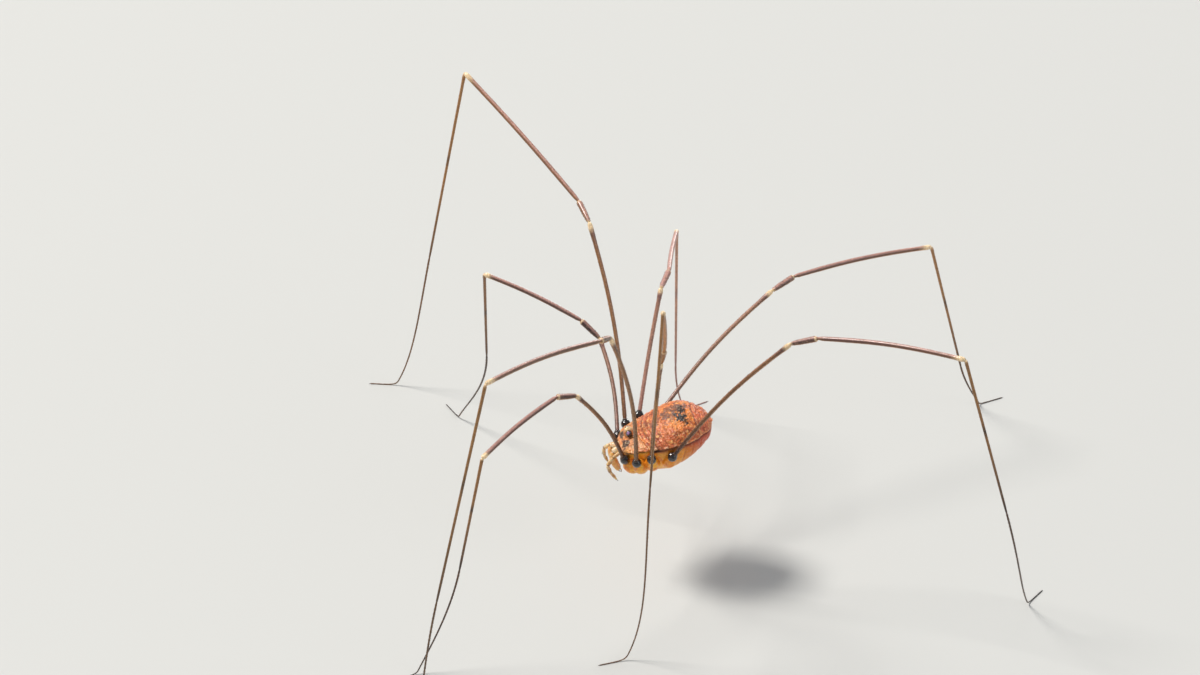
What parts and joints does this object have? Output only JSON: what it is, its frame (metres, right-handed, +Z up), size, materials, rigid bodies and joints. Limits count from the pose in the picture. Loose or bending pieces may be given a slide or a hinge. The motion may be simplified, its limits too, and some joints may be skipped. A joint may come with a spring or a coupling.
{
  "type": "harvestman",
  "caption": "Life-size still model of a harvestman: a small oval body with an eye mound, short feelers and very long thin legs, standing.",
  "frame": {"origin": "bottom centre of the whole animal, on the floor that its feet rest on", "axes": "+Z up, head towards -Y, the animal's left side towards +X"},
  "size_m": [0.031, 0.033, 0.0184],
  "materials": {
    "carapace": "satin peach cuticle, fine grain",
    "abdomen": "terracotta cuticle with orange mottling and small glossy points",
    "eye": "polished black",
    "mouthparts": "pale cream cuticle, satin",
    "trochanter": "glossy black-brown cuticle",
    "upper_leg": "brown cuticle with rows of fine points, pale at the knees",
    "lower_leg": "dark brown cuticle, satin"
  },
  "bodies": {
    "root": {"cephalothorax": "carapace", "abdomen": "abdomen", "ocularium": "carapace", "eye_left": "eye", "chelicera_left": "mouthparts", "pedipalp_left": "mouthparts", "trochanter_left_1": "trochanter", "femur_left_1": "upper_leg", "patella_left_1": "upper_leg", "tibia_left_1": "upper_leg", "metatarsus_left_1": "lower_leg", "tarsus_left_1": "lower_leg", "trochanter_left_2": "trochanter", "femur_left_2": "upper_leg", "patella_left_2": "upper_leg", "tibia_left_2": "upper_leg", "metatarsus_left_2": "lower_leg", "tarsus_left_2": "lower_leg", "trochanter_left_3": "trochanter", "femur_left_3": "upper_leg", "patella_left_3": "upper_leg", "tibia_left_3": "upper_leg", "metatarsus_left_3": "lower_leg", "tarsus_left_3": "lower_leg", "trochanter_left_4": "trochanter", "femur_left_4": "upper_leg", "patella_left_4": "upper_leg", "tibia_left_4": "upper_leg", "metatarsus_left_4": "lower_leg", "tarsus_left_4": "lower_leg", "eye_right": "eye", "chelicera_right": "mouthparts", "pedipalp_right": "mouthparts", "trochanter_right_1": "trochanter", "femur_right_1": "upper_leg", "patella_right_1": "upper_leg", "tibia_right_1": "upper_leg", "metatarsus_right_1": "lower_leg", "tarsus_right_1": "lower_leg", "trochanter_right_2": "trochanter", "femur_right_2": "upper_leg", "patella_right_2": "upper_leg", "tibia_right_2": "upper_leg", "metatarsus_right_2": "lower_leg", "tarsus_right_2": "lower_leg", "trochanter_right_3": "trochanter", "femur_right_3": "upper_leg", "patella_right_3": "upper_leg", "tibia_right_3": "upper_leg", "metatarsus_right_3": "lower_leg", "tarsus_right_3": "lower_leg", "trochanter_right_4": "trochanter", "femur_right_4": "upper_leg", "patella_right_4": "upper_leg", "tibia_right_4": "upper_leg", "metatarsus_right_4": "lower_leg", "tarsus_right_4": "lower_leg"}
  },
  "joints": []
}
